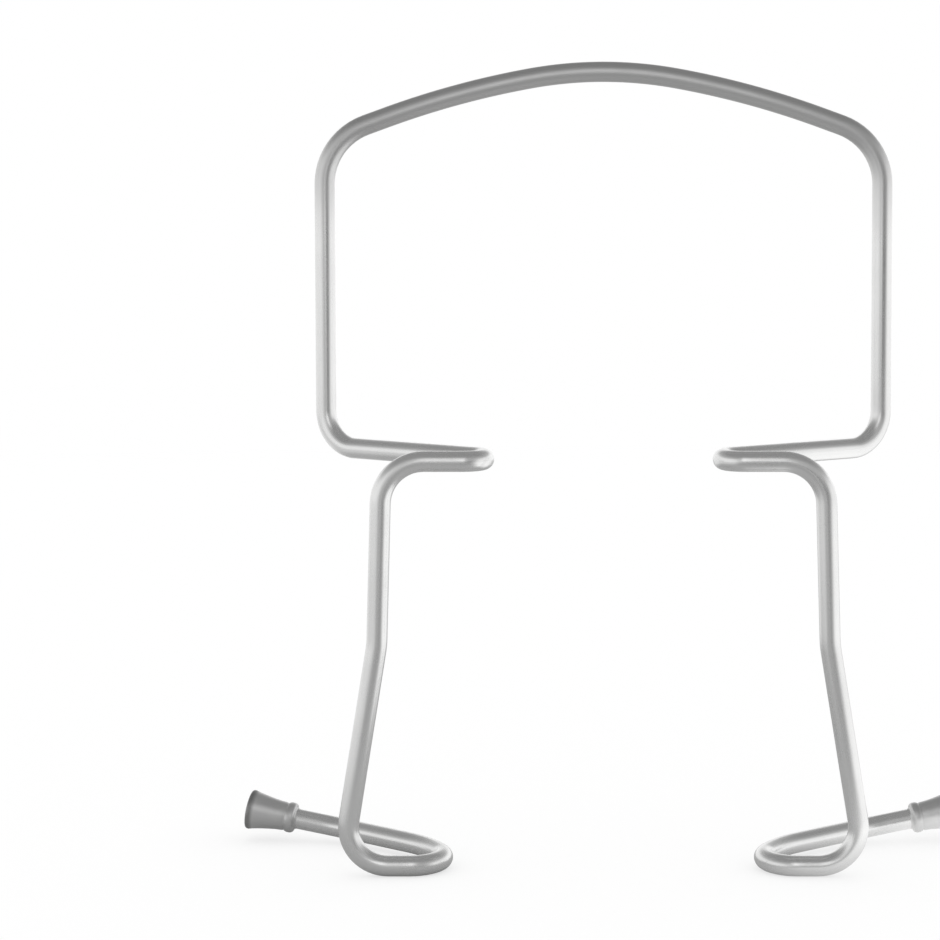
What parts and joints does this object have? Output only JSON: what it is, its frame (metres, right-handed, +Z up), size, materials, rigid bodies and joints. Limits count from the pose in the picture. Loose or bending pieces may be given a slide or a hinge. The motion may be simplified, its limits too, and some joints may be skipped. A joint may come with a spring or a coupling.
{
  "type": "self retaining lip and cheek retractor",
  "caption": "One-piece sprung wire lip and cheek retractor: an arched bow, a pair of lower-lip hooks, cheek bars, upper-lip hooks and flared end cones.",
  "frame": {"origin": "on the standing plane, at the middle of the object's width and depth", "axes": "+Z up towards the bow, +X to the right, -Y to the front, where the cheek bars are"},
  "size_m": [0.1046, 0.027, 0.1132],
  "materials": {
    "spring_wire": "satin-polished drawn stainless spring wire",
    "turned_cone": "fine-turned stainless steel, satin"
  },
  "bodies": {
    "bow_middle": {"bow": "spring_wire"},
    "left_side": {"left_outer_leg": "spring_wire", "left_lower_lip_hook": "spring_wire", "left_cheek_bar": "spring_wire", "left_upper_lip_hook": "spring_wire", "left_tail": "spring_wire", "left_end_cone": "turned_cone"},
    "right_side": {"right_outer_leg": "spring_wire", "right_lower_lip_hook": "spring_wire", "right_cheek_bar": "spring_wire", "right_upper_lip_hook": "spring_wire", "right_tail": "spring_wire", "right_end_cone": "turned_cone"}
  },
  "joints": [
    {"name": "left_flexure", "type": "hinge", "parent": "bow_middle", "child": "left_side", "pos_m": [-0.03106, 0.00893, 0.1053], "axis": [0, -1, 0], "range_deg": [-3, 8], "stiffness_Nm_per_rad": 15},
    {"name": "right_flexure", "type": "hinge", "parent": "bow_middle", "child": "right_side", "pos_m": [0.03106, 0.00893, 0.1053], "axis": [0, 1, 0], "range_deg": [-3, 8], "stiffness_Nm_per_rad": 15}
  ]
}
